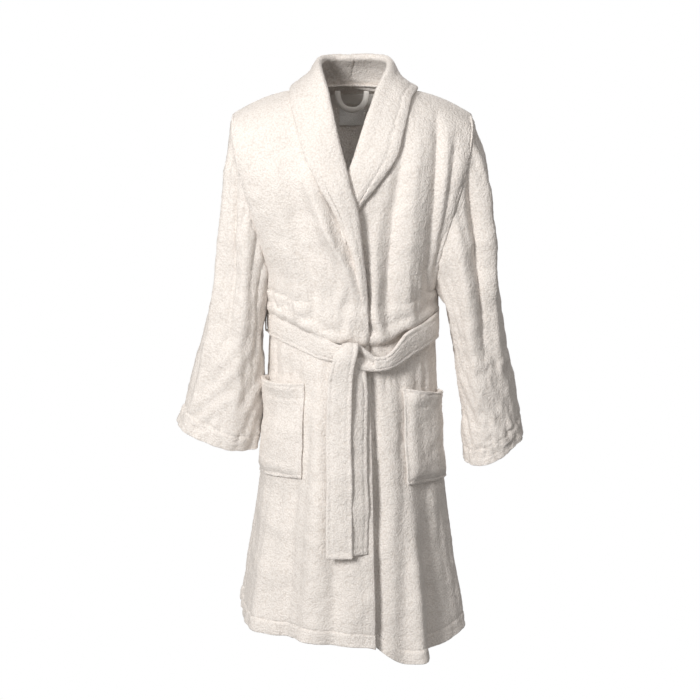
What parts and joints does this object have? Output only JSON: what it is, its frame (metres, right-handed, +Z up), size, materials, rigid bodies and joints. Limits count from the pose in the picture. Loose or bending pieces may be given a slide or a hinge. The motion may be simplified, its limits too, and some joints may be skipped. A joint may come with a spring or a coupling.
{
  "type": "bathrobe",
  "caption": "Knee-length terry bathrobe with a shawl collar, wide sleeves, patch pockets and a tied belt, shaped as worn with the right front over the left.",
  "frame": {"origin": "middle of the neck opening at the height of the tops of the shoulders, where a wearer's or stand's neck comes through", "axes": "+Z up, the front of the robe faces -Y, +X towards the wearer's left sleeve"},
  "size_m": [0.68, 0.3793, 1.1392],
  "materials": {
    "cloth": "terry loops, undyed cream white",
    "hem": "turned-in terry with lockstitch",
    "belt": "doubled terry strip with edge stitching",
    "tape": "woven cotton tape",
    "label": "blank satin label"
  },
  "bodies": {
    "robe_body": {"back_panel": "cloth", "front_right_upper": "cloth", "front_left_upper": "cloth", "hem_back": "hem", "collar_right": "cloth", "collar_left": "cloth", "belt_band": "belt", "belt_knot": "belt", "belt_loop_right": "belt", "belt_loop_left": "belt", "neck_tape": "tape", "neck_label": "label"},
    "right_sleeve": {"sleeve_right": "cloth", "cuff_right": "hem"},
    "left_sleeve": {"sleeve_left": "cloth", "cuff_left": "hem"},
    "front_overlap": {"front_right_skirt": "cloth", "facing_right": "hem", "hem_right": "hem", "pocket_right": "cloth", "pocket_hem_right": "hem"},
    "front_underlap": {"front_left_skirt": "cloth", "facing_left": "hem", "hem_left": "hem", "pocket_left": "cloth", "pocket_hem_left": "hem"},
    "tail_front": {"belt_tail_front": "belt"},
    "tail_back": {"belt_tail_back": "belt"},
    "hanger": {"hanger_loop": "tape"}
  },
  "joints": [
    {"name": "right_sleeve_raise", "type": "hinge", "parent": "robe_body", "child": "right_sleeve", "pos_m": [-0.2305, 0, -0.046], "axis": [0, 1, 0], "range_deg": [0, 30]},
    {"name": "left_sleeve_raise", "type": "hinge", "parent": "robe_body", "child": "left_sleeve", "pos_m": [0.2305, 0, -0.046], "axis": [0, -1, 0], "range_deg": [0, 30]},
    {"name": "front_overlap_lift", "type": "hinge", "parent": "robe_body", "child": "front_overlap", "pos_m": [0, -0.15, -0.474], "axis": [-1, 0, 0], "range_deg": [0, 14], "stiffness_Nm_per_rad": 0.6, "springref_deg": -17.19},
    {"name": "front_underlap_lift", "type": "hinge", "parent": "robe_body", "child": "front_underlap", "pos_m": [0, -0.15, -0.474], "axis": [-1, 0, 0], "range_deg": [0, 7]},
    {"name": "tail_front_swing", "type": "hinge", "parent": "front_overlap", "child": "tail_front", "pos_m": [-0.019, -0.155, -0.514], "axis": [-1, 0, 0], "range_deg": [0, 35]},
    {"name": "tail_back_swing", "type": "hinge", "parent": "front_overlap", "child": "tail_back", "pos_m": [0.02, -0.155, -0.514], "axis": [-1, 0, 0], "range_deg": [0, 35]},
    {"name": "hanger_swing", "type": "hinge", "parent": "robe_body", "child": "hanger", "pos_m": [0, 0.081, -0.008], "axis": [-1, 0, 0], "range_deg": [0, 110]}
  ],
  "couplings": [
    {"joint": "front_underlap_lift", "follows": "front_overlap_lift", "ratio": 0.5}
  ]
}
